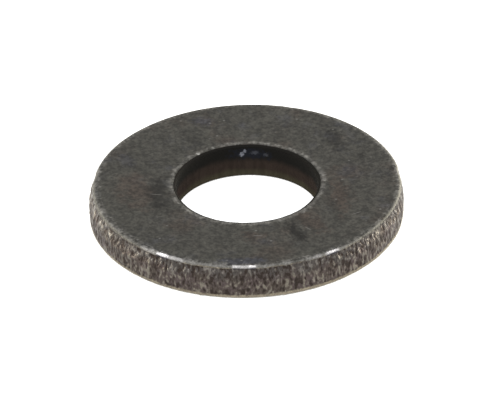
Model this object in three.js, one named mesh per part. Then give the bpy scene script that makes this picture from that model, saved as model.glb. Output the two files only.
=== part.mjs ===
// Flat washer, as one stamped steel ring. Millimetres, +Z up.
// The origin is the centre of the underside, on the axis of the bore.
//
// The ring is a closed profile turned about the axis. The blanking stroke leaves its marks on that
// profile: both edges of the upper face are drawn over into a small round, a smooth sheared land
// follows the round, and below the land the torn metal of the outer edge flares out to the full
// diameter. The underside keeps only a small break on both edges.

import * as THREE from 'three';

// Driving dimensions
const OUTER_DIAMETER = 18;
const BORE_DIAMETER = 8.4;
const THICKNESS = 2;

// Marks of the press tool on the outer edge
const RIM_ROUND = 0.15;        // radius of the rolled upper edge
const RIM_LAND = 0.1;          // height of the smooth band below it
const FLARE = 0.17;            // how far the torn band stands out beyond the smooth one
const FLARE_HEIGHT = 0.8;      // height over which it reaches the full diameter
const RIM_BREAK = 0.14;        // break on the lower edge

// Marks of the press tool in the bore
const MOUTH_ROUND = 0.12;      // radius of the rolled upper edge
const BORE_BREAK = 0.06;       // break on the lower edge

// Fineness
const FACETS = 128;            // flats round the ring
const ROUND_STEPS = 5;         // straight steps in each rolled edge
const BREAK_STEPS = 2;         // straight steps in each lower break

const outerRadius = OUTER_DIAMETER / 2;
const boreRadius = BORE_DIAMETER / 2;
const landRadius = outerRadius - FLARE;
const landBottom = THICKNESS - RIM_ROUND - RIM_LAND;
const flareBottom = landBottom - FLARE_HEIGHT;

// A quarter round in the profile plane, from one angle to the next, both ends included.
// x is the distance from the axis and y the height.
function quarterRound(centreX, centreY, radius, fromAngle, steps) {
  const points = [];
  for (let step = 0; step <= steps; step += 1) {
    const angle = fromAngle + (step / steps) * (Math.PI / 2);
    points.push(new THREE.Vector2(
      centreX + radius * Math.cos(angle),
      centreY + radius * Math.sin(angle),
    ));
  }
  return points;
}

// The profile runs anticlockwise, so that the turned faces point out of the metal:
// up the outer edge, in across the upper face, down the bore and out along the underside.
function ringProfile() {
  const points = [
    ...quarterRound(outerRadius - RIM_BREAK, RIM_BREAK, RIM_BREAK, -Math.PI / 2, BREAK_STEPS),
    new THREE.Vector2(outerRadius, flareBottom),
    new THREE.Vector2(landRadius, landBottom),
    ...quarterRound(landRadius - RIM_ROUND, THICKNESS - RIM_ROUND, RIM_ROUND, 0, ROUND_STEPS),
    ...quarterRound(boreRadius + MOUTH_ROUND, THICKNESS - MOUTH_ROUND, MOUTH_ROUND, Math.PI / 2, ROUND_STEPS),
    ...quarterRound(boreRadius + BORE_BREAK, BORE_BREAK, BORE_BREAK, Math.PI, BREAK_STEPS),
  ];
  points.push(points[0].clone());
  return points;
}

// Blackened steel, dark and matt.
const blackenedSteel = new THREE.MeshStandardMaterial({
  color: 0x504f4b,
  metalness: 0.85,
  roughness: 0.55,
});

// A lathe turns its profile about Y, so the ring is stood up to put its axis on Z.
const ring = new THREE.LatheGeometry(ringProfile(), FACETS);
ring.rotateX(Math.PI / 2);

const washer = new THREE.Mesh(ring, blackenedSteel);
washer.name = 'washer';

const part = new THREE.Group();
part.add(washer);

export default part;
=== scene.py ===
"""A flat washer: one stamped ring of blackened steel, with the marks that the press left on it."""

import math

import bpy
import numpy as np
from bpy.props import FloatProperty, FloatVectorProperty, IntProperty, PointerProperty
from bpy.types import Operator, Panel, PropertyGroup
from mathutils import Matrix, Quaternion, Vector


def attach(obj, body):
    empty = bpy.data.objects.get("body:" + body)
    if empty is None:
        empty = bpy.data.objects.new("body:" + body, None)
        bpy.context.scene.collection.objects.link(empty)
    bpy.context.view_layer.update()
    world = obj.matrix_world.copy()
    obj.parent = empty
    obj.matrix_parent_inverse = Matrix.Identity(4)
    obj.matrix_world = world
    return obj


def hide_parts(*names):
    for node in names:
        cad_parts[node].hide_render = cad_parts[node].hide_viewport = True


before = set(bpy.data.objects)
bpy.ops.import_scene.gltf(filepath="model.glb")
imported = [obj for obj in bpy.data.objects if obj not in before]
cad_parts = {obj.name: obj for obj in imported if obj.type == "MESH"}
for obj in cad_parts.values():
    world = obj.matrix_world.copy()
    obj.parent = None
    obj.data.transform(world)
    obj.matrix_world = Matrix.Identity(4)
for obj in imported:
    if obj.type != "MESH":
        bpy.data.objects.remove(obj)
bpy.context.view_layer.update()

bl_info = {
    "name": "Stamped washer",
    "version": (1, 0, 0),
    "blender": (4, 5, 0),
    "location": "3D View > Sidebar > Washer",
    "description": "Makes a stamped flat washer of blackened steel and a studio to see it in",
    "category": "Mesh",
}

CAD_NODE = "washer"
BODY = "root"
MM = 0.001
FULL_TURN = 2 * math.pi


# ---------------------------------------------------------------- sizes that come from the frame


def ring_of(node):
    """Outer radius, bore radius and thickness of a CAD ring that stands on its origin, in metres."""
    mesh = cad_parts[node].data
    points = np.empty(len(mesh.vertices) * 3)
    mesh.vertices.foreach_get("co", points)
    points = points.reshape(-1, 3)
    from_axis = np.hypot(points[:, 0], points[:, 1])
    return float(from_axis.max()), float(from_axis.min()), float(points[:, 2].max())


OUTER_RADIUS, BORE_RADIUS, THICKNESS = ring_of(CAD_NODE)


# ---------------------------------------------------------------- what a user would change


def length(name, description, default):
    return FloatProperty(
        name=name, description=description, default=default, min=0.0, precision=5, subtype="DISTANCE",
        unit="LENGTH",
    )


def angle(name, description, degrees):
    return FloatProperty(
        name=name, description=description, default=math.radians(degrees), subtype="ANGLE",
        unit="ROTATION",
    )


def colour(name, description, default):
    return FloatVectorProperty(
        name=name, description=description, default=default, size=3, min=0.0, max=1.0, subtype="COLOR",
    )


class RingShape(PropertyGroup):
    """The ring and the marks of the press tool on its edges."""

    outer_radius: length("Outer radius", "Radius at the flared lower edge", OUTER_RADIUS)
    bore_radius: length("Bore radius", "Radius of the hole", BORE_RADIUS - 0.110 * MM)
    thickness: length("Thickness", "Height of the ring", THICKNESS)
    rim_round: length("Rim round", "How deep the upper outer edge is drawn over", 0.158 * MM)
    rim_land: length("Rim land", "Greatest height of the smooth band under the rim round", 0.06 * MM)
    flare: length("Flare", "How far the torn band stands out beyond the smooth one", 0.200 * MM)
    flare_height: length("Flare height", "Height over which the flare comes to full width", 0.80 * MM)
    flare_lean: length("Flare lean", "How far the torn band is pushed to one side", 0.06 * MM)
    flare_side: angle("Flare side", "Direction of that push, from +X towards +Y", 205)
    land_oval: length("Land oval", "How much wider the smooth edge is from side to side", 0.045 * MM)
    tear_depth: length("Tear depth", "Height of the torn metal from pit to crest", 0.060 * MM)
    rim_break: length("Lower rim break", "Round on the lower outer edge", 0.15 * MM)
    mouth_round: length("Mouth round", "How deep the upper edge of the bore is drawn over", 0.10 * MM)
    mouth_lean: length("Mouth lean", "How far the bore's upper end is set to the back", 0.055 * MM)
    bore_break: length("Lower bore break", "Round on the lower edge of the bore", 0.07 * MM)
    seed: IntProperty(name="Seed", description="Picks the pattern of the torn metal", default=7, min=0)


class SteelColours(PropertyGroup):
    """The finishes on the ring."""

    oxide: colour("Oxide", "Black oxide on the faces", (0.0592, 0.0572, 0.0504))
    oxide_warm: colour("Warm oxide", "Brownish patches in the oxide", (0.0660, 0.0520, 0.0435))
    oxide_cool: colour("Cool oxide", "Bluish patches in the oxide", (0.0530, 0.0535, 0.0625))
    stain: colour("Stains", "Dark stains on the faces", (0.021, 0.020, 0.018))
    speck: colour("Specks", "Small bright specks in the oxide", (0.19, 0.185, 0.175))
    scratch: colour("Scratches", "Metal laid bare by scratches", (0.20, 0.19, 0.18))
    worn: colour("Worn edge", "Metal on rubbed edges", (0.170, 0.164, 0.155))
    bright: colour("Bright edge", "Metal where the rim is polished", (0.270, 0.262, 0.262))
    # painted reflection: a near-black colour under the polished patches that stands in for a dark
    # reflection there
    land: colour("Polished land", "Dark glaze under the polished patches", (0.020, 0.018, 0.027))
    # painted highlight: a pale colour that stands in for a glint on the mouth of the bore
    mouth_painted_glint: colour("Mouth chips", "Bare metal at the mouth of the bore", (0.50, 0.50, 0.48))
    tear_pit: colour("Tear pits", "Deep parts of the torn band", (0.0285, 0.0217, 0.0183))
    tear_wall: colour("Tear walls", "Middle heights of the torn band", (0.0570, 0.0465, 0.0390))
    tear_patch: colour("Tear patches", "Pinkish patches in those walls", (0.0620, 0.0475, 0.0470))
    tear_grey: colour("Grey tear walls", "Those walls near the rolled edge", (0.0570, 0.0520, 0.0485))
    tear_crest: colour("Tear crests", "Rubbed tops of the torn band", (0.125, 0.112, 0.092))
    crest_grey: colour("Grey tear crests", "Those tops near the rolled edge", (0.136, 0.124, 0.114))
    tear_speck: colour("Tear specks", "Bright specks in the torn band", (0.205, 0.178, 0.160))
    rim_chip: colour("Rim chips", "Bare metal in the torn band", (0.30, 0.27, 0.22))
    lip: colour("Lip", "Rubbed lower outer edge", (0.20, 0.175, 0.130))
    bore_black: colour("Bore land", "Burnished upper part of the bore", (0.0078, 0.0073, 0.0064))
    bore_brown: colour("Bore tear", "Brown lower part of the bore", (0.0220, 0.0160, 0.0128))
    # painted reflection of the white floor: a lighter colour by the lower edge of the bore
    bore_floor_reflection: colour("Bore edge", "Lighter strip by the lower edge of the bore", (0.032, 0.028, 0.018))
    bore_blue: colour("Bore glaze", "Blue-black place in the bore", (0.009, 0.010, 0.014))
    # painted highlight: pale flecks that stand in for glints in the bore's upper land
    bore_painted_glint: colour("Bore chips", "Pale flecks in the bore", (0.13, 0.135, 0.155))


class StageSettings(PropertyGroup):
    """The floor, the lights and the camera."""

    floor_size: length("Floor size", "Side of the square floor", 4.0)
    camera_distance: length("Camera distance", "From the lens to the washer", 0.54)
    camera_height: angle("Camera height", "Angle of the view above the floor", 32.3)
    camera_roll: angle("Camera roll", "Turn of the camera about its line of sight", -1.4)
    picture_share: FloatProperty(
        name="Picture share", description="Diameter of the washer as a share of the picture's width",
        default=0.6276, min=0.01, max=1.0, subtype="FACTOR",
    )
    room_light: FloatProperty(
        name="Room light", description="Strength of the even light from all round", default=0.80, min=0.0,
    )


# ---------------------------------------------------------------- noise and profiles, whole arrays


def s_curve(share):
    """Rises from 0 to 1 with level ends: three times the square less twice the cube."""
    share = np.clip(share, 0.0, 1.0)
    return share * share * (3.0 - 2.0 * share)


def wrapped_noise(turn, fall, cells, rows, rng):
    """Smooth noise from 0 to 1 on a surface that is wrapped round the axis.

    Random values stand on a lattice with that many cells round the turn and rows down the fall.
    Between four of them the value follows the S-curve both ways. The lattice closes on itself.
    """
    lattice = rng.random((rows + 2, cells))
    column = turn * cells
    row = np.clip(fall, 0.0, 1.0) * rows
    left = np.floor(column).astype(int)
    above = np.floor(row).astype(int)
    across = s_curve(column - left)
    down = s_curve(row - above)
    near, far = left % cells, (left + 1) % cells
    upper = lattice[above, near] * (1 - across) + lattice[above, far] * across
    lower = lattice[above + 1, near] * (1 - across) + lattice[above + 1, far] * across
    return upper * (1 - down) + lower * down


def noise_round(turn, cells, rng):
    """The same noise round one circle only, as one row of a grid."""
    return wrapped_noise(turn, 0 * turn, cells, 1, rng)


def torn_metal(turn, fall, rng):
    """Height of torn metal from 0 in a pit to 1 on a crest, drawn out along the stroke of the punch.

    Three noises are added, each finer than the one before. Their lattice is first pushed about by a
    coarse noise, so that the marks wander, and an S-curve steepens the walls between them.
    """
    wander = wrapped_noise(turn, fall, 190, 3, rng) - 0.5
    slip = wrapped_noise(turn, fall, 120, 2, rng) - 0.5
    turn = turn + 0.0020 * wander
    fall = fall + 0.30 * slip
    broad = wrapped_noise(turn, fall, 230, 4, rng)
    middle = wrapped_noise(turn, fall, 430, 7, rng)
    fine = wrapped_noise(turn, fall, 640, 11, rng)
    height = 0.36 * broad + 0.39 * middle + 0.25 * fine
    return s_curve((height - 0.20) / 0.60)


def around(count):
    """Shares of a turn for so many columns, as one row of a grid."""
    return np.arange(count)[None, :] / count


def as_column(values):
    """Values as one column of a grid, one to a row."""
    return np.array(values)[:, None]


def steps(count, first=1):
    """Even shares from 0 to 1 as one column of a grid, from the given step on."""
    return (np.arange(first, count + 1) / count)[:, None]


def bump_at(turn, centre_degrees, width_degrees):
    """A bell of height 1 round the ring at that angle."""
    apart = (turn - centre_degrees / 360 + 0.5) % 1.0 - 0.5
    return np.exp(-((apart * 360 / width_degrees) ** 2))


def patch_at(turn, centre_degrees, half_degrees, fall_degrees):
    """1 within that many degrees of an angle round the ring, falling to 0 on an S-curve beyond them."""
    apart = np.abs((turn - centre_degrees / 360 + 0.5) % 1.0 - 0.5) * 360
    return s_curve((half_degrees + fall_degrees - apart) / fall_degrees)


# ---------------------------------------------------------------- the ring


FINE_COLUMNS = 1680
COLUMN_RATIO = 4               # fine columns to one coarse column
COARSE_COLUMNS = FINE_COLUMNS // COLUMN_RATIO
ROUND_ROWS = 9
TEAR_ROWS = 27
LIP_ROWS = 4
BREAK_ROWS = 3
BORE_ROWS = 16
MOUTH_ROWS = 8
DRAWN_OVER = 1.7               # width of the rolled outer edge to its depth
MOUTH_DRAWN = 3.0              # width of the bore's rolled mouth to its depth

# rows of the flat margins: distance from the round beside them, in millimetres
MARGIN_STEPS = (0.30, 0.13, 0.05)
LOWER_MARGIN_STEPS = (0.08, 0.34)
MOUTH_MARGIN_STEPS = (0.06, 0.15, 0.30, 0.60)

# rows in the middle of both faces: share of the way from the bore to the outer edge
UNDERSIDE_SHARES = (0.80, 0.60, 0.40, 0.22, 0.10, 0.04)
UPPER_FACE_SHARES = (0.32, 0.55, 0.76)

# how rubbed rows are, from 0 to 1, one value to a row
MARGIN_WEAR = (0.02, 0.18, 0.36)
LIP_WEAR = (0.30, 0.70, 0.95, 1.0, 1.0, 0.9, 0.6, 0.25, 0.0)     # the last torn rows, lip and margin
BORE_EDGE_WEAR = (0.05, 0.3, 0.5, 0.5, 0.35, 0.2)
MOUTH_MARGIN_WEAR = (0.46, 0.28, 0.08, 0.0)

# dents in the rolled edge: degrees from +X, width in degrees, depth in millimetres (below 0, a swell)
RIM_NICKS = ((6.5, 3.0, 0.075), (171.0, 1.6, 0.035), (247.0, 1.2, 0.030), (292.0, 1.4, 0.040),
             (318.0, 1.0, 0.030), (72.0, 1.8, 0.035), (285.0, 9.0, 0.060), (324.0, 13.0, 0.045),
             (90.0, 60.0, -0.035))
# metal that stands out on the lip, in the same way
BURRS = ((252.0, 0.5, 0.05), (283.0, 0.45, 0.06), (303.0, 0.5, 0.03), (128.0, 0.6, 0.05),
         (20.0, 0.5, 0.05))
# polished stretches of the rolled edge: degrees from +X, half width, fall at either end, strength
POLISHED = ((268.2, 4.3, 0.4, 0.74), (265.4, 1.2, 0.8, 0.85), (271.3, 1.0, 0.7, 0.95),
            (236.0, 2.2, 1.2, 1.00), (240.8, 2.8, 2.6, 0.62), (229.0, 2.0, 2.0, 0.35),
            (303.0, 1.8, 2.2, 1.00), (296.5, 1.0, 1.5, 0.30))


def stacked(parts, columns):
    """One grid of radius and one of height from all parts, and the number of rows in each part."""
    blank = np.zeros((1, columns))
    full = [np.broadcast_arrays(radius, height, blank) for radius, height in parts]
    radius = np.vstack([part[0] for part in full])
    height = np.vstack([part[1] for part in full])
    return radius, height, [len(part[0]) for part in full]


def rolled_wear(share, direction, towards_lean):
    """How rubbed the rolled edge is, from 0 to 1, at a share of the way down its round.

    It grows along an S-curve over the upper part. On the left and right of the ring it falls again
    along a second S-curve over the lower part.
    """
    start = 0.72 - 0.12 * towards_lean
    to_side = s_curve((np.abs(np.cos(direction)) - 0.6) / 0.3)
    return start + (1 - start) * s_curve(share / 0.6) - 0.62 * to_side * s_curve((share - 0.45) / 0.4)


def outer_band(shape, rng):
    """Rows of the outer edge, from the upper face down the torn side to the underside.

    The profile is: a flat margin; a quarter ellipse, the rolled edge, which is flattened to a bevel
    where it is polished; a short upright land; the torn band, which flares out along an S-curve and
    carries the torn metal; a quarter round, the lip; a flat margin. Its sizes drift round the ring.
    Returns radius and height of each grid point, its paint, and the number of rows in each part.
    """
    turn = around(FINE_COLUMNS)
    direction = turn * FULL_TURN
    drift = noise_round(turn, 14, rng) - 0.5
    ragged = 0.6 * noise_round(turn, 90, rng) + 0.4 * noise_round(turn, 330, rng)
    towards_lean = np.cos(direction - shape.flare_side)
    stretches = [power * patch_at(turn, at, half, fall) for at, half, fall, power in POLISHED]
    polish = np.max(stretches, axis=0)
    nick = sum(depth * MM * bump_at(turn, at, width) for at, width, depth in RIM_NICKS)
    burr = sum(depth * MM * bump_at(turn, at, width) for at, width, depth in BURRS)

    deep = shape.rim_round * (1 + 0.15 * towards_lean + 0.30 * drift) * (1 - 0.25 * polish)
    wide = deep * (DRAWN_OVER - (DRAWN_OVER - 1) * polish)
    land = shape.rim_land * np.maximum(s_curve((ragged - 0.40) / 0.50), polish)
    full = shape.outer_radius + shape.flare_lean * towards_lean
    upright = shape.outer_radius - shape.flare + shape.land_oval * np.cos(2 * direction)
    upright = upright + 0.010 * MM * drift - 0.02 * MM * polish
    top = shape.thickness

    inward = as_column(MARGIN_STEPS) * MM
    margin = (upright - wide - inward, top)

    share = steps(ROUND_ROWS - 1, 0)
    bend = share * math.pi / 2
    flat = 0.85 * polish
    across = np.sin(bend) * (1 - flat) + share * flat
    down = (1 - np.cos(bend)) * (1 - flat) + share * flat
    rolled = (upright - wide * (1 - across) - nick * across, top - deep * down)

    fall = steps(TEAR_ROWS)
    tear = torn_metal(turn, fall, rng)
    start = top - deep
    below = (start - shape.rim_break) * fall
    flared = s_curve(below / shape.flare_height)
    grip = s_curve((below - land + 0.02 * MM) / (0.08 * MM)) * (1 - 0.55 * s_curve((fall - 0.86) / 0.14))
    body = upright + (full - upright) * flared - nick * (1 - s_curve(fall / 0.35))
    torn = (body + (tear - 0.55) * shape.tear_depth * grip, start - below)

    last = (tear[-1:] - 0.55) * shape.tear_depth * grip[-1:]
    turned = steps(LIP_ROWS)
    curl = turned * math.pi / 2
    lip = full + last * (1 - turned) + burr * np.cos(curl)
    turned_in = (lip - shape.rim_break * (1 - np.cos(curl)), shape.rim_break * (1 - np.sin(curl)))

    inward = as_column(LOWER_MARGIN_STEPS) * MM
    foot = (full - shape.rim_break - inward, 0.0)
    radius, height, counts = stacked((margin, rolled, torn, turned_in, foot), FINE_COLUMNS)

    leaning = np.clip(towards_lean, 0, 1)
    patchy = (0.50 + 0.12 * leaning + 0.5 * (ragged - 0.5)) * (1 - polish)
    first_torn = counts[0] + counts[1]
    after_torn = first_torn + TEAR_ROWS
    wear = np.zeros(radius.shape)
    wear[:counts[0]] = as_column(MARGIN_WEAR)
    wear[counts[0]:first_torn] = patchy * rolled_wear(share, direction, towards_lean)
    wear[counts[0]:first_torn] += s_curve(share / 0.15) * polish
    wear[first_torn] = 0.25 * patchy[0]
    wear[-len(LIP_WEAR):] = as_column(LIP_WEAR) * (1 - 0.30 * leaning)

    level = np.full(radius.shape, 0.5)
    level[first_torn:after_torn] = tear
    level[after_torn:] = 0.55 + 0.3 * (tear[-1] - 0.5)
    smooth_depth = deep * (0.62 + 0.38 * polish) + land
    torn_share = s_curve((top - height - smooth_depth) / (0.06 * MM))
    torn_share[after_torn:] = 1.0
    paint = {"wear": wear, "tear": level, "torn": torn_share, "polish": polish + 0 * radius}
    return radius, height, paint, counts


def inner_band(shape, rng):
    """Rows of the rest of the ring: in along the underside, up the bore and out across the upper face.

    The bore leans a little to the back. Its mouth is a quarter ellipse, much wider than it is deep.
    """
    turn = around(COARSE_COLUMNS)
    drift = noise_round(turn, 9, rng) - 0.5
    ragged = noise_round(turn, 110, rng) - 0.5
    deep = shape.mouth_round * (1 + 0.25 * drift + 0.20 * ragged)
    wide = MOUTH_DRAWN * deep
    direction = turn * FULL_TURN
    lean = shape.mouth_lean * np.sin(direction)
    top = shape.thickness
    bore = shape.bore_radius
    small = shape.bore_break

    span = shape.outer_radius - shape.bore_radius
    underside = (bore + small + span * as_column(UNDERSIDE_SHARES), 0.0)

    bend = steps(BREAK_ROWS, 0) * math.pi / 2
    turned_up = (bore + small * (1 - np.sin(bend)), small * (1 - np.cos(bend)))

    rise = steps(BORE_ROWS)
    grain = torn_metal(turn, 1 - rise, rng) - 0.5
    rough = (1 - s_curve((rise - 0.45) / 0.2)) * s_curve(rise / 0.15)
    wall = (bore + lean * rise + grain * 0.03 * MM * rough, small + (top - deep - small) * rise)

    share = steps(MOUTH_ROWS)
    bend = share * math.pi / 2
    mouth = (bore + lean + wide * (1 - np.cos(bend)), top - deep * (1 - np.sin(bend)))

    outward = as_column(MOUTH_MARGIN_STEPS) * MM
    near = (bore + lean + wide + outward, top)
    far = (bore + span * as_column(UPPER_FACE_SHARES), top)
    radius, height, counts = stacked((underside, turned_up, wall, mouth, near, far), COARSE_COLUMNS)

    wear = np.zeros(radius.shape)
    by_bore = counts[0] + counts[1]
    wear[by_bore - len(BORE_EDGE_WEAR):by_bore] = as_column(BORE_EDGE_WEAR)
    on_mouth = sum(counts[:3])
    on_margin = on_mouth + MOUTH_ROWS
    after_margin = on_margin + len(MOUTH_MARGIN_WEAR)
    wear[on_mouth:on_margin] = 0.52 * s_curve((share - 0.50) / 0.40)
    wear[on_margin:after_margin] = as_column(MOUTH_MARGIN_WEAR)
    wear[on_mouth:after_margin] *= (1.0 + 0.5 * ragged) * (0.98 + 0.12 * np.cos(direction))
    level = np.full(radius.shape, 0.5)
    level[by_bore:by_bore + BORE_ROWS] = grain + 0.5
    nothing = np.zeros(radius.shape)
    paint = {"wear": wear, "tear": level, "torn": nothing, "polish": nothing}
    return radius, height, paint, counts


def band_faces(first, rows, columns):
    """The four corners of each face of a band that is closed round the turn, row by row.

    A corner is the grid point at its row and column, counted on from the band's first vertex.
    """
    row = np.arange(rows - 1)[:, None]
    column = np.arange(columns)[None, :]
    beside = (column + 1) % columns
    corners = (row * columns + column, (row + 1) * columns + column,
               (row + 1) * columns + beside, row * columns + beside)
    return first + np.stack(np.broadcast_arrays(*corners), -1).reshape(-1, 4)


def joining_faces(coarse_first, fine_first, coarse_leads):
    """Seven-sided faces that join a row of coarse columns to a row of fine ones.

    Each holds two coarse points and the five fine points between them. coarse_leads says that the
    coarse row comes first on the way round the profile, which sets the direction of the corners.
    """
    coarse = np.arange(COARSE_COLUMNS)
    ends = [coarse_first + coarse, coarse_first + (coarse + 1) % COARSE_COLUMNS]
    between = [fine_first + (coarse * COLUMN_RATIO + k) % FINE_COLUMNS for k in range(COLUMN_RATIO + 1)]
    if coarse_leads:
        return np.stack([ends[0], *between, ends[1]], -1)
    return np.stack([between[0], *ends, *between[:0:-1]], -1)


def to_points(radius, height, columns):
    """Points of a grid from the distance to the axis, the height and the share of a turn."""
    direction = around(columns) * FULL_TURN
    points = np.stack([radius * np.cos(direction), radius * np.sin(direction), height], -1)
    return points.reshape(-1, 3)


MAP_SIZE = 1024.0              # units of the map's layout below
UPPER_DISC = (300.0, 724.0, 292.0)
UNDER_DISC = (806.0, 806.0, 210.0)
STRIP_TOPS = (424.0, 311.0, 198.0)
STRIP_HEIGHT = 107.0
BORE_TOP, BORE_STRIP_HEIGHT = 84.0, 78.0
STRIP_LEFT, STRIP_WIDTH = 6.0, 1010.0


def on_disc(disc, reach, furthest, columns, facing):
    """Map places of grid rows laid out as a disc: reach from the middle, and facing 1 or -1 for the
    way the face looks, up or down."""
    middle_x, middle_y, radius = disc
    direction = around(columns) * FULL_TURN
    out = (reach / furthest * radius)[:, None]
    across, upward = out * np.cos(direction), facing * out * np.sin(direction)
    return np.stack([middle_x + across, middle_y + upward], -1)


def on_strip(across, down, top, height):
    """Map place of a grid point on a strip: across and down are shares of its width and height."""
    return np.stack([STRIP_LEFT + STRIP_WIDTH * across, top - height * down], -1)


def path_along(radius, height):
    """Mean length of the profile from the first row to each row."""
    run = np.hypot(np.diff(radius, axis=0), np.diff(height, axis=0)).mean(axis=1)
    return np.concatenate([[0.0], np.cumsum(run)])


def corner_rows(columns, rows):
    """Row and column of each corner of a band's faces. The columns run on past the last one."""
    row = np.arange(rows - 1)[:, None, None] + np.array([0, 1, 1, 0])
    column = np.arange(columns)[None, :, None] + np.array([0, 0, 1, 1])
    return np.broadcast_arrays(row, column)


def band_places(first_disc, first_end, strips, last_start, last_disc, columns):
    """Map places of a band's face corners: rows on one disc, then on strips, then on another disc."""
    row, column = corner_rows(columns, len(first_disc))
    wrapped = column % columns
    face_row = row[..., :1, None]
    return np.where(
        face_row < first_end, first_disc[row, wrapped],
        np.where(face_row >= last_start, last_disc[row, wrapped], strips(row, column)),
    )


def map_places(fine, coarse, mid_roll, foot, bore_start, mid_mouth):
    """Map places of all face corners, in the order of the faces.

    The upper face and the upper halves of its rounds form one disc, the underside a smaller one. The
    outer edge is unrolled in three strips, one above the other, and the bore in one strip below them.
    """
    (fine_radius, fine_height), (coarse_radius, coarse_height) = fine, coarse
    fine_path = path_along(fine_radius, fine_height)
    coarse_path = path_along(coarse_radius, coarse_height)
    fine_upper = fine_radius[0].mean() + fine_path
    fine_under = fine_radius[-1].mean() + fine_path[-1] - fine_path
    coarse_under = coarse_radius[0].mean() - coarse_path
    coarse_upper = coarse_radius[-1].mean() - coarse_path[-1] + coarse_path
    upper_reach, under_reach = fine_upper[mid_roll], fine_under[foot]
    per_strip = FINE_COLUMNS // len(STRIP_TOPS)

    def on_side(row, column):
        strip = np.arange(FINE_COLUMNS)[None, :, None] // per_strip
        down = (fine_path[row] - fine_path[mid_roll]) / (fine_path[foot] - fine_path[mid_roll])
        return on_strip(
            (column - strip * per_strip) / per_strip, down, np.array(STRIP_TOPS)[strip], STRIP_HEIGHT,
        )

    def in_bore(row, column):
        climb = coarse_path[mid_mouth] - coarse_path[bore_start]
        up = (coarse_path[row] - coarse_path[bore_start]) / climb
        return on_strip(1 - column / COARSE_COLUMNS, 1 - up, BORE_TOP, BORE_STRIP_HEIGHT)

    upper_disc = on_disc(UPPER_DISC, fine_upper, upper_reach, FINE_COLUMNS, 1)
    under_disc = on_disc(UNDER_DISC, fine_under, under_reach, FINE_COLUMNS, -1)
    lower = on_disc(UNDER_DISC, coarse_under, under_reach, COARSE_COLUMNS, -1)
    upper = on_disc(UPPER_DISC, coarse_upper, upper_reach, COARSE_COLUMNS, 1)
    under_points = np.vstack([lower[0], under_disc[-1]])
    upper_points = np.vstack([upper[-1], upper_disc[0]])
    parts = (
        band_places(upper_disc, mid_roll, on_side, foot, under_disc, FINE_COLUMNS),
        band_places(lower, bore_start, in_bore, mid_mouth, upper, COARSE_COLUMNS),
        under_points[joining_faces(0, COARSE_COLUMNS, False)],
        upper_points[joining_faces(0, COARSE_COLUMNS, True)],
    )
    return np.vstack([part.reshape(-1, 2) for part in parts]) / MAP_SIZE


FACE_SLOT, RIM_SLOT, BORE_SLOT = 0, 1, 2


def make_ring(shape):
    """The ring's mesh: a fine band for the outer edge and a coarse one for the rest, joined in the
    flat of both faces, so that the surface is closed."""
    rng = np.random.default_rng(shape.seed)
    fine_radius, fine_height, fine_paint, fine_counts = outer_band(shape, rng)
    coarse_radius, coarse_height, coarse_paint, coarse_counts = inner_band(shape, rng)
    fine_rows, coarse_rows = len(fine_radius), len(coarse_radius)
    points = np.vstack([
        to_points(fine_radius, fine_height, FINE_COLUMNS),
        to_points(coarse_radius, coarse_height, COARSE_COLUMNS),
    ])
    coarse_first = fine_rows * FINE_COLUMNS
    fine_last_row = (fine_rows - 1) * FINE_COLUMNS
    coarse_last_row = coarse_first + (coarse_rows - 1) * COARSE_COLUMNS
    fine_faces = band_faces(0, fine_rows, FINE_COLUMNS)
    coarse_faces = band_faces(coarse_first, coarse_rows, COARSE_COLUMNS)
    under_joint = joining_faces(coarse_first, fine_last_row, False)
    upper_joint = joining_faces(coarse_last_row, 0, True)
    faces = [*fine_faces.tolist(), *coarse_faces.tolist(), *under_joint.tolist(), *upper_joint.tolist()]

    mesh = bpy.data.meshes.new("stamped_ring")
    mesh.from_pydata(points.tolist(), [], faces)
    mesh.polygons.foreach_set("use_smooth", np.ones(len(faces), bool))

    fine_row = np.repeat(np.arange(fine_rows - 1), FINE_COLUMNS)
    mid_roll = fine_counts[0] + ROUND_ROWS // 2
    foot = fine_rows - fine_counts[-1] - 1
    fine_slots = np.where((fine_row < mid_roll) | (fine_row >= foot), FACE_SLOT, RIM_SLOT)
    coarse_row = np.repeat(np.arange(coarse_rows - 1), COARSE_COLUMNS)
    bore_start = coarse_counts[0] + 1
    mid_mouth = sum(coarse_counts[:3]) + coarse_counts[3] // 2
    coarse_slots = np.where((coarse_row >= bore_start) & (coarse_row < mid_mouth), BORE_SLOT, FACE_SLOT)
    joints = np.full(2 * COARSE_COLUMNS, FACE_SLOT)
    mesh.polygons.foreach_set("material_index", np.concatenate([fine_slots, coarse_slots, joints]))

    places = map_places((fine_radius, fine_height), (coarse_radius, coarse_height),
                        mid_roll, foot, bore_start, mid_mouth)
    mesh.uv_layers.new(name="OFBake").uv.foreach_set("vector", places.astype(np.float32).ravel())
    for name in fine_paint:
        values = np.concatenate([fine_paint[name].ravel(), coarse_paint[name].ravel()])
        layer = mesh.attributes.new(name, "FLOAT", "POINT")
        layer.data.foreach_set("value", values.astype(np.float32))
    mesh.update()
    return mesh


# ---------------------------------------------------------------- small helpers for node trees


def add(tree, kind, inputs=None, **settings):
    """Adds a node. An input is a number, a colour or another node's output, by name or by place."""
    node = tree.nodes.new(kind)
    for name, value in settings.items():
        setattr(node, name, value)
    for name, value in (inputs or {}).items():
        if isinstance(value, bpy.types.NodeSocket):
            tree.links.new(value, node.inputs[name])
        else:
            node.inputs[name].default_value = value
    return node


def maths(tree, operation, first, second=0.0):
    return add(tree, "ShaderNodeMath", {0: first, 1: second}, operation=operation).outputs[0]


def product(tree, first, second):
    return maths(tree, "MULTIPLY", first, second)


def swing(tree, value, width):
    """A value from 0 to 1 turned into one of that width round 0."""
    return product(tree, maths(tree, "SUBTRACT", value, 0.5), width)


def rgba(value):
    """A colour with its alpha, or a socket as it is."""
    return value if isinstance(value, bpy.types.NodeSocket) else (*tuple(value)[:3], 1.0)


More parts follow.
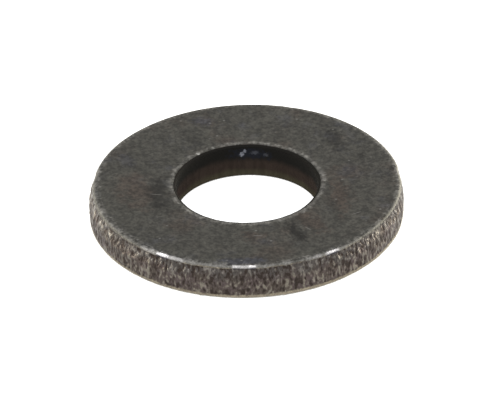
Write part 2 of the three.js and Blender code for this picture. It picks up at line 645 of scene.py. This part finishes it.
def mix_colours(tree, share, first, second):
    inputs = {0: share, 6: rgba(first), 7: rgba(second)}
    return add(tree, "ShaderNodeMix", inputs, data_type="RGBA").outputs[2]


def mix_values(tree, share, first, second):
    return add(tree, "ShaderNodeMix", {0: share, 2: first, 3: second}).outputs[0]


def ramp(tree, value, low, high, start=0.0, end=1.0):
    """An S-curve from start to end while the value goes from low to high."""
    inputs = {"Value": value, "From Min": low, "From Max": high, "To Min": start, "To Max": end}
    return add(tree, "ShaderNodeMapRange", inputs, interpolation_type="SMOOTHSTEP").outputs["Result"]


def noise(tree, place, size, detail=2.0, rough=0.5):
    """Noise from 0 to 1 whose features are about that size in millimetres, a number or a socket."""
    given = isinstance(size, bpy.types.NodeSocket)
    scale = maths(tree, "DIVIDE", 1.0, size) if given else 1 / size
    inputs = {"Vector": place, "Scale": scale, "Detail": detail, "Roughness": rough}
    return add(tree, "ShaderNodeTexNoise", inputs).outputs["Fac"]


def stretched(tree, place, rise):
    """The place with its height scaled, which draws a pattern out along Z."""
    return add(tree, "ShaderNodeMapping", {"Vector": place, "Scale": (1.0, 1.0, rise)}).outputs[0]


def attribute(tree, name):
    return add(tree, "ShaderNodeAttribute", attribute_name=name).outputs["Fac"]


def new_group(name, inputs, outputs):
    """An empty node group with named sockets, its inputs and the sockets that take its results."""
    group = bpy.data.node_groups.new(name, "ShaderNodeTree")
    kinds = {float: "NodeSocketFloat", tuple: "NodeSocketColor", Vector: "NodeSocketVector"}
    for label, value in inputs.items():
        socket = group.interface.new_socket(label, in_out="INPUT", socket_type=kinds[type(value)])
        socket.default_value = value
    for label, kind in outputs.items():
        group.interface.new_socket(label, in_out="OUTPUT", socket_type=kinds[kind])
    given = group.nodes.new("NodeGroupInput").outputs
    return group, given, group.nodes.new("NodeGroupOutput").inputs


def use_group(tree, name, inputs):
    return add(tree, "ShaderNodeGroup", inputs, node_tree=bpy.data.node_groups[name]).outputs


# ---------------------------------------------------------------- effects that materials share


def make_fine_grain():
    """Fine grain: two noises, the second more than twice as fine, mixed into one."""
    group, given, result = new_group(
        "Fine grain", {"Place": Vector(), "Size": 0.1}, {"Grain": float},
    )
    coarse = noise(group, given["Place"], given["Size"], 1.0)
    fine = noise(group, given["Place"], maths(group, "DIVIDE", given["Size"], 2.3), 0.0)
    group.links.new(mix_values(group, 0.35, coarse, fine), result["Grain"])


def make_patches():
    """Cloudy patches of one colour in another, with soft ragged borders."""
    group, given, result = new_group(
        "Patches",
        {"Place": Vector(), "Size": 2.0, "Base": (0.1, 0.1, 0.1, 1.0), "Patch": (0.1, 0.1, 0.1, 1.0),
         "Cover": 0.5, "Strength": 1.0},
        {"Color": tuple},
    )
    cloud = noise(group, given["Place"], given["Size"], 6.0, 0.62)
    start = maths(group, "SUBTRACT", 0.80, given["Cover"])
    end = maths(group, "ADD", start, 0.22)
    share = product(group, ramp(group, cloud, start, end), given["Strength"])
    group.links.new(mix_colours(group, share, given["Base"], given["Patch"]), result["Color"])


def make_edge_wear():
    """Rubbed metal: the painted wear, eaten into by noise and then sharpened."""
    group, given, result = new_group(
        "Edge wear", {"Place": Vector(), "Wear": 0.0, "Ragged": 0.5}, {"Worn": float},
    )
    broad = noise(group, given["Place"], 0.40, 2.0, 0.6)
    fine = noise(group, given["Place"], 0.15, 1.0, 0.6)
    eaten = swing(group, mix_values(group, 0.5, broad, fine), given["Ragged"])
    total = maths(group, "ADD", given["Wear"], eaten)
    group.links.new(ramp(group, total, 0.15, 0.85), result["Worn"])


def make_specks():
    """Small specks: some of the cells of a Voronoi pattern, each as a soft dot at its middle."""
    group, given, result = new_group(
        "Specks", {"Place": Vector(), "Spacing": 0.5, "Size": 0.05, "Share": 0.2}, {"Speck": float},
    )
    scale = maths(group, "DIVIDE", 1.0, given["Spacing"])
    cells = add(group, "ShaderNodeTexVoronoi", {"Vector": given["Place"], "Scale": scale})
    reach = product(group, given["Size"], scale)
    dot = ramp(group, cells.outputs["Distance"], reach, 0.0)
    lot = add(group, "ShaderNodeSeparateColor", {"Color": cells.outputs["Color"]}).outputs[0]
    picked = maths(group, "LESS_THAN", lot, given["Share"])
    group.links.new(product(group, dot, picked), result["Speck"])


def place_on_mark(group, given):
    """The place as seen from a mark: its three parts along, across and above it."""
    ends = {0: given["Place"], 1: given["Centre"]}
    offset = add(group, "ShaderNodeVectorMath", ends, operation="SUBTRACT").outputs[0]
    inputs = {"Vector": offset, "Angle": given["Angle"]}
    turned = add(group, "ShaderNodeVectorRotate", inputs, rotation_type="Z_AXIS").outputs[0]
    return add(group, "ShaderNodeSeparateXYZ", {0: turned}).outputs


def make_stain():
    """One soft oval mark, longer one way than the other, its border pushed about by noise."""
    group, given, result = new_group(
        "Stain",
        {
            "Place": Vector(), "Centre": Vector(), "Angle": 0.0, "Length": 1.0, "Width": 1.0,
            "Strength": 1.0,
        },
        {"Stain": float},
    )
    along, across, above = place_on_mark(group, given)
    scaled = add(group, "ShaderNodeCombineXYZ", {
        0: maths(group, "DIVIDE", along, given["Length"]),
        1: maths(group, "DIVIDE", across, given["Width"]),
        2: maths(group, "DIVIDE", above, given["Width"]),
    }).outputs[0]
    apart = add(group, "ShaderNodeVectorMath", {0: scaled}, operation="LENGTH").outputs["Value"]
    cloud = noise(group, given["Place"], maths(group, "DIVIDE", given["Width"], 2.0))
    ragged = swing(group, cloud, 1.8)
    mark = ramp(group, maths(group, "ADD", apart, ragged), 1.15, 0.35)
    group.links.new(product(group, mark, given["Strength"]), result["Stain"])


def make_scratch():
    """One straight scratch: narrow across its line, fading out along it."""
    group, given, result = new_group(
        "Scratch",
        {"Place": Vector(), "Centre": Vector(), "Angle": 0.0, "Length": 1.0, "Width": 0.05},
        {"Scratch": float},
    )
    along, across, _ = place_on_mark(group, given)
    share_along = maths(group, "DIVIDE", maths(group, "ABSOLUTE", along), given["Length"])
    share_across = maths(group, "DIVIDE", maths(group, "ABSOLUTE", across), given["Width"])
    mark = product(group, ramp(group, share_along, 0.5, 0.2), ramp(group, share_across, 1.0, 0.1))
    group.links.new(mark, result["Scratch"])


def make_effects():
    for make in (make_fine_grain, make_patches, make_edge_wear, make_specks, make_stain, make_scratch):
        make()


# ---------------------------------------------------------------- materials


WORN_ROUGHNESS = 0.72
POLISHED_ROUGHNESS = 0.40
METAL = 0.92
MARK_INPUTS = ("Centre", "Angle", "Length", "Width", "Strength")


def new_material(name):
    """A material with an empty Principled shader, and the object's place in millimetres."""
    material = bpy.data.materials.new(name)
    material.use_nodes = True
    tree = material.node_tree
    shader = tree.nodes["Principled BSDF"]
    shader.inputs["Metallic"].default_value = METAL
    corner = add(tree, "ShaderNodeTexCoord")
    scaled = add(tree, "ShaderNodeMapping",
                 {"Vector": corner.outputs["Object"], "Scale": (1 / MM, 1 / MM, 1 / MM)})
    return material, tree, shader, scaled.outputs[0]


def finish_shader(tree, shader, base, roughness, height, relief):
    """Joins a finished colour, roughness and surface height to the shader. Relief is in metres."""
    bump = add(tree, "ShaderNodeBump", {"Strength": 1.0, "Distance": relief, "Height": height})
    tree.links.new(base, shader.inputs["Base Color"])
    tree.links.new(roughness, shader.inputs["Roughness"])
    tree.links.new(bump.outputs["Normal"], shader.inputs["Normal"])


def shaded(tree, base, grain, low, high):
    """A colour socket made darker or lighter by a grain from 0 to 1."""
    gain = ramp(tree, grain, 0.30, 0.70, low, high)
    return add(tree, "ShaderNodeVectorMath", {0: base, "Scale": gain}, operation="SCALE").outputs[0]


def fine_grain(tree, place, size):
    return use_group(tree, "Fine grain", {"Place": place, "Size": size})["Grain"]


def clouded(tree, base, place, patch_colour, size, cover, strength):
    """A colour with cloudy patches of another one."""
    return use_group(tree, "Patches", {
        "Place": place, "Size": size, "Base": rgba(base), "Patch": rgba(patch_colour), "Cover": cover,
        "Strength": strength,
    })["Color"]


def one_mark(tree, kind, place, values):
    """One mark of a shared kind, its values in the order of MARK_INPUTS."""
    return use_group(tree, kind, {"Place": place, **dict(zip(MARK_INPUTS, values))})[kind]


def marked_with(tree, base, place, mark_colour, marks):
    """A colour with oval marks of another colour laid over it, one after the other."""
    for values in marks:
        base = mix_colours(tree, one_mark(tree, "Stain", place, values), base, mark_colour)
    return base


def speckled(tree, base, place, speck_colour, spacing, size, share, strength):
    """A colour with small specks of another one: the share of the cells that hold one is given."""
    speck = use_group(tree, "Specks", {
        "Place": place, "Spacing": spacing, "Size": size, "Share": share,
    })["Speck"]
    return mix_colours(tree, product(tree, speck, strength), base, speck_colour)


def worn_by(tree, place, ragged):
    return use_group(tree, "Edge wear", {
        "Place": place, "Wear": attribute(tree, "wear"), "Ragged": ragged,
    })["Worn"]


def rubbed_steel(tree, colours, place, grain):
    """How worn and how polished the edge is, and the colour and roughness of its bare metal.

    The polish is a little less where the grain is low.
    """
    worn = worn_by(tree, place, 1.4)
    polish = product(tree, attribute(tree, "polish"), ramp(tree, grain, 0.35, 0.6, 0.86, 1.0))
    metal = mix_colours(tree, polish, colours.worn, colours.bright)
    return worn, polish, metal, mix_values(tree, polish, WORN_ROUGHNESS, POLISHED_ROUGHNESS)


# oval marks: centre in millimetres, angle in radians, length and width in millimetres, strength
FACE_STAINS = (
    ((2.75, -5.35, 2.0), 1.15, 1.40, 0.46, 1.00),
    ((3.3, -4.3, 2.0), 0.8, 0.9, 0.50, 0.35),
    ((-5.1, -0.8, 2.0), 1.57, 2.1, 0.75, 0.80),
    ((-4.7, -2.2, 2.0), 1.1, 0.8, 0.40, 0.35),
    ((5.1, 4.5, 2.0), 1.45, 1.5, 0.60, 0.75),
    ((6.6, 2.6, 2.0), 1.40, 0.55, 0.22, 0.55),
    ((-3.1, 5.1, 2.0), 0.9, 1.3, 0.60, 0.45),
    ((4.9, -2.6, 2.0), 1.30, 1.0, 0.45, 0.30),
    ((8.3, 1.3, 2.0), 1.50, 0.35, 0.25, 0.75),
)
BLUED_PLACES = (
    ((-2.5, 6.9, 2.0), 0.3, 0.8, 0.5, 0.7),
    ((-0.4, -8.2, 2.0), 0.0, 1.7, 0.42, 1.0),
    ((-6.9, 2.9, 2.0), 1.2, 1.0, 0.5, 0.5),
    ((4.9, 4.9, 2.0), 0.9, 0.7, 0.4, 0.6),
)
RUST_PLACES = (
    ((5.3, -1.4, 2.0), 1.5, 2.4, 0.6, 0.85),
    ((0.3, -5.6, 2.0), 0.1, 0.9, 0.6, 0.65),
    ((-6.3, -0.6, 2.0), 1.5, 2.2, 1.1, 0.70),
    ((3.6, -4.2, 2.0), 0.9, 1.7, 0.7, 0.8),
)
# pale flecks painted at the back of the bore's mouth as a highlight
MOUTH_PAINTED_GLINTS = (
    ((-2.75, 3.37, 1.98), 0.6, 0.16, 0.11, 1.0),
    ((-1.9, 3.98, 1.98), 0.3, 0.10, 0.08, 0.5),
)
# the same without a strength
FACE_SCRATCHES = (
    ((0.55, -5.55, 2.0), 0.05, 0.7, 0.10),
    ((-5.2, -0.9, 2.0), 0.2, 0.9, 0.06),
    ((6.2, -3.4, 2.0), -0.5, 0.8, 0.06),
    ((3.4, -4.9, 2.0), 0.8, 0.6, 0.07),
)


def make_face_steel(colours):
    """Upper and lower face: mottled oxide with fine grain, specks, stains and rubbed edges, and a painted
    highlight at the mouth of the bore.
    """
    material, tree, shader, place = new_material("blackened_face")
    grain = fine_grain(tree, place, 0.26)
    base = clouded(tree, colours.oxide, place, colours.oxide_warm, 2.6, 0.30, 0.6)
    base = clouded(tree, base, place, colours.oxide_cool, 1.7, 0.28, 0.7)
    base = marked_with(tree, base, place, colours.oxide_warm, RUST_PLACES)
    base = marked_with(tree, base, place, colours.oxide_cool, BLUED_PLACES)
    base = marked_with(tree, base, place, colours.stain, FACE_STAINS)
    base = shaded(tree, base, grain, 0.68, 1.32)
    base = shaded(tree, base, noise(tree, place, 0.8, 3.0, 0.66), 0.84, 1.14)
    # painted highlight on the mouth of the bore
    base = marked_with(tree, base, place, colours.mouth_painted_glint, MOUTH_PAINTED_GLINTS)
    base = speckled(tree, base, place, colours.speck, 0.42, 0.11, 0.10, 0.75)
    scratched = 0.0
    for values in FACE_SCRATCHES:
        scratched = maths(tree, "MAXIMUM", scratched, one_mark(tree, "Scratch", place, values))
    base = mix_colours(tree, product(tree, scratched, 0.45), base, colours.scratch)

    worn, _, metal, rubbed = rubbed_steel(tree, colours, place, grain)
    base = mix_colours(tree, worn, base, shaded(tree, metal, grain, 0.65, 1.35))
    roughness = mix_values(tree, worn, ramp(tree, grain, 0.3, 0.7, 0.46, 0.60), rubbed)
    smoothed = mix_values(tree, worn, grain, 0.5)
    finish_shader(tree, shader, base, roughness, smoothed, 0.008 * MM)
    return material


RIM_CHIPS = (
    ((1.53, -8.70, 1.72), 0.17, 0.13, 0.12, 1.0),
    ((2.40, -8.45, 1.74), 0.27, 0.10, 0.10, 0.6),
)


def make_rim_steel(colours):
    """Outer edge: a smooth land, painted near black under the polished patches as a dark reflection, then
    torn metal coloured by its own height, greyer at the top.
    """
    material, tree, shader, place = new_material("torn_rim")
    torn = attribute(tree, "torn")
    drawn_out = stretched(tree, place, 0.55)
    streak = noise(tree, drawn_out, 0.17, 1.0, 0.5)
    grain = fine_grain(tree, place, 0.12)
    streaked = ramp(tree, streak, 0.25, 0.75, -0.34, 0.50)
    level = maths(tree, "ADD", product(tree, attribute(tree, "tear"), 0.80), streaked)

    rise = add(tree, "ShaderNodeSeparateXYZ", {0: place}).outputs[2]
    wander = swing(tree, noise(tree, place, 1.1), 1.6)
    near_top = ramp(tree, maths(tree, "ADD", rise, wander), 1.05, 1.65, 0.0, 0.80)
    wall = clouded(tree, colours.tear_wall, place, colours.tear_patch, 1.4, 0.40, 0.8)
    wall = mix_colours(tree, near_top, wall, colours.tear_grey)
    crest = mix_colours(tree, near_top, colours.tear_crest, colours.crest_grey)
    below = mix_colours(tree, ramp(tree, level, 0.08, 0.50), colours.tear_pit, wall)
    rough_metal = mix_colours(tree, ramp(tree, level, 0.62, 1.10), below, crest)
    # under the polished patches the smooth land is painted near black: a painted dark reflection
    oxide_and_painted_dark_land = mix_colours(tree, attribute(tree, "polish"), colours.oxide, colours.land)
    base = mix_colours(tree, torn, oxide_and_painted_dark_land, rough_metal)
    base = shaded(tree, base, grain, 0.85, 1.18)
    speck_strength = product(tree, torn, 0.55)
    base = speckled(tree, base, drawn_out, colours.tear_speck, 0.36, 0.13, 0.22, speck_strength)
    base = marked_with(tree, base, place, colours.rim_chip, RIM_CHIPS)

    worn, polish, metal, rubbed = rubbed_steel(tree, colours, place, grain)
    rubbed_metal = mix_colours(tree, torn, metal, colours.lip)
    base = mix_colours(tree, worn, base, shaded(tree, rubbed_metal, grain, 0.75, 1.25))
    land_dull = ramp(tree, polish, 0.0, 0.5, 0.60, 0.30)
    dull = mix_values(tree, torn, land_dull, ramp(tree, level, 0.2, 0.9, 0.56, 0.40))
    roughness = mix_values(tree, worn, dull, mix_values(tree, torn, rubbed, 0.5))
    finish_shader(tree, shader, base, roughness, mix_values(tree, torn, 0.5, level), 0.018 * MM)
    return material


BORE_GLAZE = (((0.3, 4.1, 1.45), 0.0, 1.5, 0.42, 0.8),)
# pale flecks in the bore's upper land, painted as glints: painted highlights, laid out like the oval
# marks
BORE_PAINTED_GLINTS = (
    ((-0.08, 4.16, 1.62), 0.0, 0.11, 0.17, 0.9),
    ((-0.24, 4.15, 1.42), 0.0, 0.14, 0.18, 1.0),
    ((0.50, 4.13, 1.52), 0.0, 0.30, 0.15, 0.22),
    ((1.15, 4.00, 1.44), 0.0, 0.18, 0.14, 0.20),
)


def make_bore_steel(colours):
    """Bore: a black burnished land above brown torn metal, made lighter along the lower edge as a painted
    reflection of the white floor, with pale flecks in the land painted as glints.
    """
    material, tree, shader, place = new_material("burnished_bore")
    shader.inputs["Metallic"].default_value = 0.0
    shader.inputs["Specular IOR Level"].default_value = 0.032
    rise = add(tree, "ShaderNodeSeparateXYZ", {0: place}).outputs[2]
    wander = swing(tree, noise(tree, place, 0.9, 4.0, 0.6), 0.5)
    height = maths(tree, "ADD", rise, wander)
    streak = noise(tree, stretched(tree, place, 0.25), 0.25, 2.0, 0.5)
    # lighter towards the lower edge: a painted reflection of the white floor over the brown torn metal
    lower = mix_colours(tree, ramp(tree, height, 0.20, 0.60), colours.bore_floor_reflection, colours.bore_brown)
    lower = shaded(tree, lower, streak, 0.88, 1.12)
    land = ramp(tree, height, 0.85, 1.35)
    base = mix_colours(tree, land, lower, colours.bore_black)
    base = marked_with(tree, base, place, colours.bore_blue, BORE_GLAZE)
    # painted highlights: pale flecks laid over the bore colour as glints
    base = marked_with(tree, base, place, colours.bore_painted_glint, BORE_PAINTED_GLINTS)
    worn = worn_by(tree, place, 0.7)
    base = mix_colours(tree, worn, base, colours.worn)
    roughness = mix_values(tree, worn, mix_values(tree, land, 0.92, 0.85), WORN_ROUGHNESS)
    grain = fine_grain(tree, place, 0.15)
    finish_shader(tree, shader, base, roughness, mix_values(tree, land, streak, grain), 0.010 * MM)
    return material


def make_floor_finish():
    """White paper with a faint grain, lit a little from below so that shadows stay faint.

    Its back is clear, so that the underside of the ring can be seen through it.
    """
    material, tree, shader, place = new_material("white_floor")
    grain = fine_grain(tree, place, 6.0)
    base = shaded(tree, (0.87, 0.87, 0.865), grain, 0.985, 1.01)
    tree.links.new(base, shader.inputs["Base Color"])
    paper = {
        "Metallic": 0.0, "Roughness": 0.9, "Specular IOR Level": 0.1,
        "Emission Color": (1.0, 1.0, 1.0, 1.0), "Emission Strength": 0.30,
    }
    for name, value in paper.items():
        shader.inputs[name].default_value = value
    clear = add(tree, "ShaderNodeBsdfTransparent")
    facing = add(tree, "ShaderNodeNewGeometry").outputs["Backfacing"]
    one_sided = add(tree, "ShaderNodeMixShader", {0: facing, 1: shader.outputs[0], 2: clear.outputs[0]})
    tree.links.new(one_sided.outputs[0], tree.nodes["Material Output"].inputs["Surface"])
    return material


# ---------------------------------------------------------------- operators


def put_in_scene(name, data):
    """A new object of that name, linked to the scene."""
    made = bpy.data.objects.new(name, data)
    bpy.context.scene.collection.objects.link(made)
    return made


class WASHER_OT_make_ring(Operator):
    """Makes the stamped ring and gives it its finishes"""

    bl_idname = "washer.make_ring"
    bl_label = "Make the ring"

    def execute(self, context):
        colours = context.scene.washer_colours
        make_effects()
        mesh = make_ring(context.scene.washer_shape)
        for make in (make_face_steel, make_rim_steel, make_bore_steel):
            mesh.materials.append(make(colours))
        ring = put_in_scene("stamped_ring", mesh)
        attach(ring, BODY)
        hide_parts(CAD_NODE)
        return {"FINISHED"}


def from_side(azimuth, elevation):
    """Unit direction to a place: azimuth from the front towards +X and elevation, in degrees."""
    a, e = math.radians(azimuth), math.radians(elevation)
    return Vector((math.sin(a) * math.cos(e), -math.cos(a) * math.cos(e), math.sin(e)))


NEUTRAL = (1.0, 1.0, 1.0)
WARM = (1.0, 0.955, 0.80)
# name, azimuth, elevation, width, height (metres), radiance, tint
SOFTBOXES = (
    ("front_softbox", -2.0, 54.0, 0.07, 0.40, 50.0, NEUTRAL),
    ("left_softbox", -74.0, 43.0, 0.08, 0.40, 42.0, NEUTRAL),
    ("right_softbox", 73.0, 43.0, 0.045, 0.40, 60.0, NEUTRAL),
    ("left_fill", -116.0, 7.0, 1.00, 0.20, 16.5, WARM),
    ("right_fill", 126.0, 7.0, 1.00, 0.20, 34.0, WARM),
)
SOFTBOX_DISTANCE = 1.0
FLOOR_GAP = 0.02 * MM          # keeps the floor clear of the underside, which would lie in it
AIM = Vector((0.145, 0.0, 0.460)) * MM


def add_softbox(name, azimuth, elevation, width, height, radiance, tint):
    """A rectangular lamp that looks at the washer, its power worked out from how bright it looks."""
    lamp = bpy.data.lights.new(name, "AREA")
    lamp.shape = "RECTANGLE"
    lamp.size, lamp.size_y = width, height
    lamp.energy = radiance * math.pi * width * height
    lamp.color = tint
    holder = put_in_scene(name, lamp)
    direction = from_side(azimuth, elevation)
    holder.location = direction * SOFTBOX_DISTANCE
    holder.rotation_mode = "QUATERNION"
    holder.rotation_quaternion = direction.to_track_quat("Z", "Y")
    holder.visible_camera = False


class WASHER_OT_set_stage(Operator):
    """Lays the floor, hangs the lights and sets up the camera"""

    bl_idname = "washer.set_stage"
    bl_label = "Set the stage"

    def execute(self, context):
        scene = context.scene
        stage = scene.washer_stage
        half = stage.floor_size / 2
        mesh = bpy.data.meshes.new("floor")
        low = -FLOOR_GAP
        corners = [(-half, -half, low), (half, -half, low), (half, half, low), (-half, half, low)]
        mesh.from_pydata(corners, [], [(0, 1, 2, 3)])
        mesh.materials.append(make_floor_finish())
        floor = put_in_scene("floor", mesh)

        world = bpy.data.worlds.new("even_room")
        world.use_nodes = True
        light = world.node_tree.nodes["Background"].inputs
        light["Color"].default_value = (1.0, 1.0, 1.0, 1.0)
        light["Strength"].default_value = stage.room_light
        scene.world = world
        for softbox in SOFTBOXES:
            add_softbox(*softbox)
        scene.view_settings.view_transform = "Standard"

        lens = bpy.data.cameras.new("camera")
        lens.lens = stage.picture_share * lens.sensor_width * stage.camera_distance / (2 * OUTER_RADIUS)
        lens.clip_start = 0.01
        camera = put_in_scene("camera", lens)
        back = from_side(0.0, math.degrees(stage.camera_height))
        camera.location = AIM + back * stage.camera_distance
        camera.rotation_mode = "QUATERNION"
        level = (-back).to_track_quat("-Z", "Y")
        camera.rotation_quaternion = level @ Quaternion((0.0, 0.0, 1.0), stage.camera_roll)
        scene.camera = camera
        return {"FINISHED"}


class WASHER_PT_panel(Panel):
    """Shows the buttons of both operators and the settings of shape, colours and stage"""

    bl_label = "Stamped washer"
    bl_space_type = "VIEW_3D"
    bl_region_type = "UI"
    bl_category = "Washer"

    def draw(self, context):
        scene = context.scene
        for operator in (WASHER_OT_make_ring, WASHER_OT_set_stage):
            self.layout.operator(operator.bl_idname)
        for group in (scene.washer_shape, scene.washer_colours, scene.washer_stage):
            column = self.layout.column()
            for name in group.__annotations__:
                column.prop(group, name)


SETTINGS = {"washer_shape": RingShape, "washer_colours": SteelColours, "washer_stage": StageSettings}
CLASSES = (*SETTINGS.values(), WASHER_OT_make_ring, WASHER_OT_set_stage, WASHER_PT_panel)


def register():
    for each in CLASSES:
        bpy.utils.register_class(each)
    for name, kind in SETTINGS.items():
        setattr(bpy.types.Scene, name, PointerProperty(type=kind))


def unregister():
    for name in SETTINGS:
        delattr(bpy.types.Scene, name)
    for each in reversed(CLASSES):
        bpy.utils.unregister_class(each)


def main():
    register()
    bpy.ops.washer.make_ring()
    bpy.ops.washer.set_stage()


if __name__ == "__main__":
    main()
